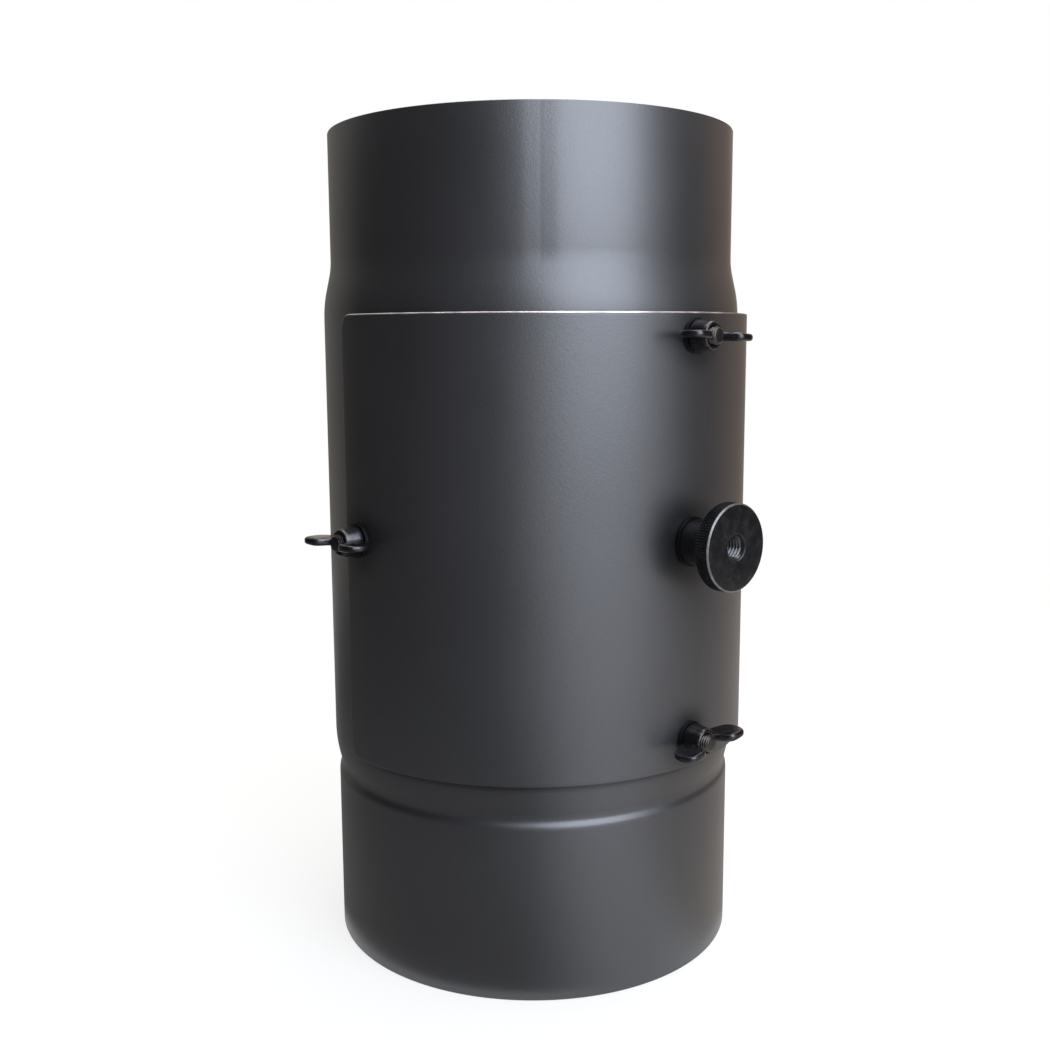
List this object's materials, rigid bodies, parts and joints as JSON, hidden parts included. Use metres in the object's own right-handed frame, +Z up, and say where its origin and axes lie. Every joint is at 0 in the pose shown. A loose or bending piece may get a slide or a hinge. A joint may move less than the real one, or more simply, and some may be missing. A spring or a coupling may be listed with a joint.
{
  "type": "stove pipe particulate filter",
  "caption": "Flue pipe section with a honeycomb filter disc that turns on an axle by an outside knob, behind a curved cleaning hatch held by wing nuts.",
  "frame": {"origin": "centre of the bottom rim, on the pipe's axis", "axes": "+Z up the pipe's axis towards the plain end, -Y out of the middle of the hatch along the filter's axle, +X to the right as one faces the hatch"},
  "size_m": [0.1908, 0.1825, 0.303],
  "materials": {
    "painted_pipe": "matt dark grey heat-proof paint with a soft metallic sheen",
    "black_steel": "black oxide, semi-gloss, brighter on worn edges",
    "dark_steel": "dull steel thread, partly painted over",
    "bare_steel": "turned steel",
    "stainless_sheet": "rolled stainless sheet",
    "gasket_fibre": "pale woven mineral fibre",
    "honeycomb_ceramic": "unglazed porous honeycomb ceramic"
  },
  "bodies": {
    "housing": {"main_pipe": "painted_pipe", "lower_collar": "painted_pipe", "hatch_cover": "painted_pipe", "hatch_gasket": "gasket_fibre", "hatch_bush": "bare_steel", "rear_bearing": "painted_pipe", "top_stud": "dark_steel", "bottom_stud": "dark_steel", "left_stud": "dark_steel", "right_stud": "dark_steel"},
    "filter_disc": {"knob": "black_steel", "friction_washer": "bare_steel", "front_axle": "bare_steel", "rear_axle": "bare_steel", "filter_ring": "stainless_sheet", "element_mat": "gasket_fibre", "filter_element": "honeycomb_ceramic", "snap_ring": "bare_steel"},
    "top_washer": {"top_washer": "black_steel"},
    "bottom_washer": {"bottom_washer": "black_steel"},
    "left_washer": {"left_washer": "black_steel"},
    "right_washer": {"right_washer": "black_steel"},
    "top_nut": {"top_wing_nut": "black_steel"},
    "bottom_nut": {"bottom_wing_nut": "black_steel"},
    "left_nut": {"left_wing_nut": "black_steel"},
    "right_nut": {"right_wing_nut": "black_steel"}
  },
  "joints": [
    {"name": "filter_turn", "type": "hinge", "parent": "housing", "child": "filter_disc", "pos_m": [0, 0, 0.1596], "axis": [0, -1, 0], "continuous": true},
    {"name": "top_washer_slide", "type": "slide", "parent": "housing", "child": "top_washer", "axis": [0, -1, 0], "range_m": [0, 0.004]},
    {"name": "top_nut_turn", "type": "hinge", "parent": "top_washer", "child": "top_nut", "pos_m": [0, -0.083, 0.2293], "axis": [0, -1, 0], "range_deg": [0, 1440]},
    {"name": "bottom_washer_slide", "type": "slide", "parent": "housing", "child": "bottom_washer", "axis": [0, -1, 0], "range_m": [0, 0.004]},
    {"name": "bottom_nut_turn", "type": "hinge", "parent": "bottom_washer", "child": "bottom_nut", "pos_m": [0, -0.083, 0.0899], "axis": [0, -1, 0], "range_deg": [0, 1440]},
    {"name": "left_washer_slide", "type": "slide", "parent": "housing", "child": "left_washer", "axis": [-1, 0, 0], "range_m": [0, 0.004]},
    {"name": "left_nut_turn", "type": "hinge", "parent": "left_washer", "child": "left_nut", "pos_m": [-0.083, 0, 0.1596], "axis": [-1, 0, 0], "range_deg": [0, 1440]},
    {"name": "right_washer_slide", "type": "slide", "parent": "housing", "child": "right_washer", "axis": [1, 0, 0], "range_m": [0, 0.004]},
    {"name": "right_nut_turn", "type": "hinge", "parent": "right_washer", "child": "right_nut", "pos_m": [0.083, 0, 0.1596], "axis": [1, 0, 0], "range_deg": [0, 1440]}
  ],
  "couplings": [
    {"joint": "top_washer_slide", "follows": "top_nut_turn", "m_per_rad": 0.00015915},
    {"joint": "bottom_washer_slide", "follows": "bottom_nut_turn", "m_per_rad": 0.00015915},
    {"joint": "left_washer_slide", "follows": "left_nut_turn", "m_per_rad": 0.00015915},
    {"joint": "right_washer_slide", "follows": "right_nut_turn", "m_per_rad": 0.00015915}
  ]
}
